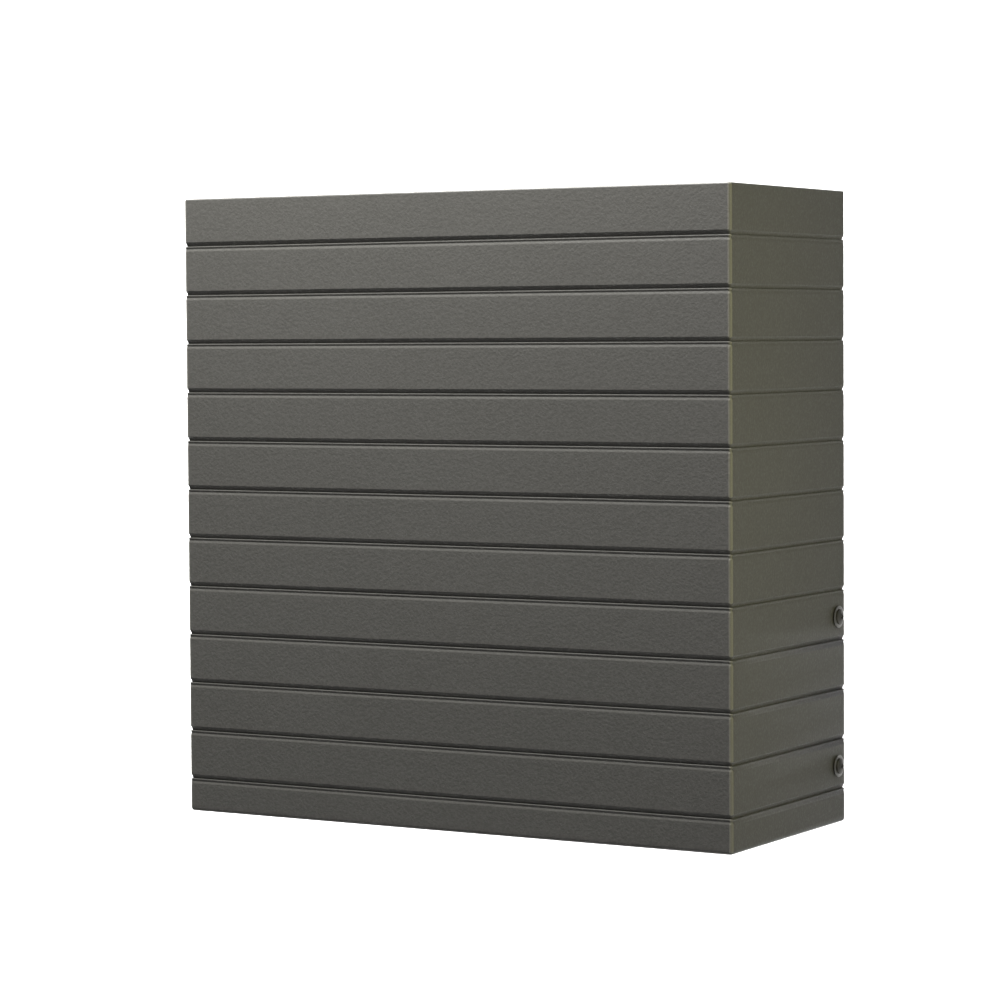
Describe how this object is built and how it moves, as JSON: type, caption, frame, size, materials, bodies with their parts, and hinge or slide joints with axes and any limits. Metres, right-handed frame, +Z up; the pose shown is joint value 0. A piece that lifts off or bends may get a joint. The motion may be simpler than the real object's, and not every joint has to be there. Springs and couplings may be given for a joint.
{
  "type": "wall battery unit",
  "caption": "Square wall battery in a slatted dark bronze-grey hood, with cells and electronics on a back pan and a connection panel underneath.",
  "frame": {"origin": "centre of the wall bracket's four holes, on the wall plane", "axes": "+Z up, +Y into the wall, so the front faces -Y; +X to the right seen from the front"},
  "size_m": [0.404, 0.161, 0.4],
  "materials": {
    "hood_finish": "dark bronze-grey textured powder coat, matt",
    "hood_screw_steel": "dull passivated steel",
    "bright_fasteners": "bright zinc plate",
    "zinc_steel": "galvanised sheet",
    "dark_sheet": "dark grey powder coat, fine texture",
    "black_rubber": "matt EPDM",
    "white_nylon": "natural nylon",
    "cell_film": "blue insulating film over an aluminium can",
    "cell_aluminium": "mill finish",
    "spacer_sheet": "glass fibre sheet",
    "copper": "bare copper, slightly dulled",
    "clear_sheet": "clear polycarbonate",
    "circuit_board": "green solder mask",
    "brass": "turned brass",
    "breaker_grey": "light grey moulding",
    "toggle_green": "dark green moulding",
    "black_plastic": "black polyamide, fine texture",
    "fuse_ceramic": "white ceramic tube with plated blades",
    "orange_plastic": "orange moulding",
    "bezel_steel": "stainless steel, turned",
    "light_pipe": "frosted acrylic",
    "smoked_plastic": "smoked grey moulding",
    "cable_jacket": "black silicone jacket"
  },
  "bodies": {
    "bracket": {"wall_bracket": "zinc_steel"},
    "chassis": {"back_pan": "dark_sheet", "hang_rail": "zinc_steel", "chassis_screws": "bright_fasteners", "rear_bumpers": "black_rubber", "rim_gasket": "black_rubber", "rivet_nuts": "bright_fasteners", "dowel_bushes": "white_nylon", "screw_washers": "hood_screw_steel", "screw_seals": "black_rubber", "base_panel": "dark_sheet", "base_seal": "black_rubber", "cell_1": "cell_film", "cell_2": "cell_film", "cell_3": "cell_film", "cell_4": "cell_film", "cell_5": "cell_film", "cell_6": "cell_film", "cell_7": "cell_film", "cell_8": "cell_film", "cell_lids": "cell_aluminium", "cell_terminals": "cell_aluminium", "cell_spacers": "spacer_sheet", "cell_clamp": "cell_aluminium", "tie_rods": "bright_fasteners", "tie_nuts": "bright_fasteners", "cell_shelf": "zinc_steel", "busbar_carrier": "white_nylon", "cell_busbars": "copper", "busbar_screws": "bright_fasteners", "busbar_cover": "clear_sheet", "bms_board": "circuit_board", "board_standoffs": "brass", "bms_heatsink": "cell_aluminium", "main_breaker": "breaker_grey", "fuse_holder": "black_plastic", "main_fuse": "fuse_ceramic", "socket_positive": "orange_plastic", "socket_negative": "black_plastic", "socket_contacts": "brass", "comm_board": "circuit_board", "comm_ports": "black_plastic", "button_bezel": "bezel_steel", "status_lights": "light_pipe", "flap_pin": "bright_fasteners", "cable_gland": "black_plastic", "earth_stud": "brass", "pressure_vent": "black_plastic", "power_cables": "cable_jacket"},
    "hood": {"hood": "hood_finish", "hood_dowels": "bright_fasteners"},
    "toggle": {"breaker_toggle": "toggle_green"},
    "button": {"power_button": "black_plastic"},
    "flap": {"port_flap": "smoked_plastic"},
    "dial": {"address_dial": "white_nylon"},
    "gland_cap": {"gland_nut": "black_plastic"},
    "screw_1": {"hood_screw_1": "hood_screw_steel"},
    "screw_2": {"hood_screw_2": "hood_screw_steel"},
    "screw_3": {"hood_screw_3": "hood_screw_steel"},
    "screw_4": {"hood_screw_4": "hood_screw_steel"}
  },
  "joints": [
    {"name": "unit_lift", "type": "slide", "parent": "bracket", "child": "chassis", "axis": [0, 0, 1], "range_m": [0, 0.03]},
    {"name": "hood_slide", "type": "slide", "parent": "chassis", "child": "hood", "axis": [0, -1, 0], "range_m": [0, 0.18]},
    {"name": "breaker_switch", "type": "hinge", "parent": "chassis", "child": "toggle", "pos_m": [0.084, -0.085, -0.253], "axis": [1, 0, 0], "range_deg": [-44, 0]},
    {"name": "button_press", "type": "slide", "parent": "chassis", "child": "button", "axis": [0, 0, 1], "range_m": [0, 0.002], "stiffness_N_per_m": 400, "springref_m": -0.004},
    {"name": "flap_swing", "type": "hinge", "parent": "chassis", "child": "flap", "pos_m": [-0.096, -0.098, -0.262], "axis": [1, 0, 0], "range_deg": [0, 100]},
    {"name": "dial_turn", "type": "hinge", "parent": "chassis", "child": "dial", "pos_m": [-0.065, -0.118, -0.255], "axis": [0, 0, -1], "continuous": true},
    {"name": "gland_turn", "type": "hinge", "parent": "chassis", "child": "gland_cap", "pos_m": [-0.164, -0.06, -0.275], "axis": [0, 0, -1], "continuous": true},
    {"name": "screw_turn_1", "type": "hinge", "parent": "chassis", "child": "screw_1", "pos_m": [0.1985, -0.012, -0.1936], "axis": [1, 0, 0], "continuous": true},
    {"name": "screw_turn_2", "type": "hinge", "parent": "chassis", "child": "screw_2", "pos_m": [0.1985, -0.012, -0.2884], "axis": [1, 0, 0], "continuous": true},
    {"name": "screw_turn_3", "type": "hinge", "parent": "chassis", "child": "screw_3", "pos_m": [-0.1985, -0.012, -0.1936], "axis": [-1, 0, 0], "continuous": true},
    {"name": "screw_turn_4", "type": "hinge", "parent": "chassis", "child": "screw_4", "pos_m": [-0.1985, -0.012, -0.2884], "axis": [-1, 0, 0], "continuous": true}
  ]
}
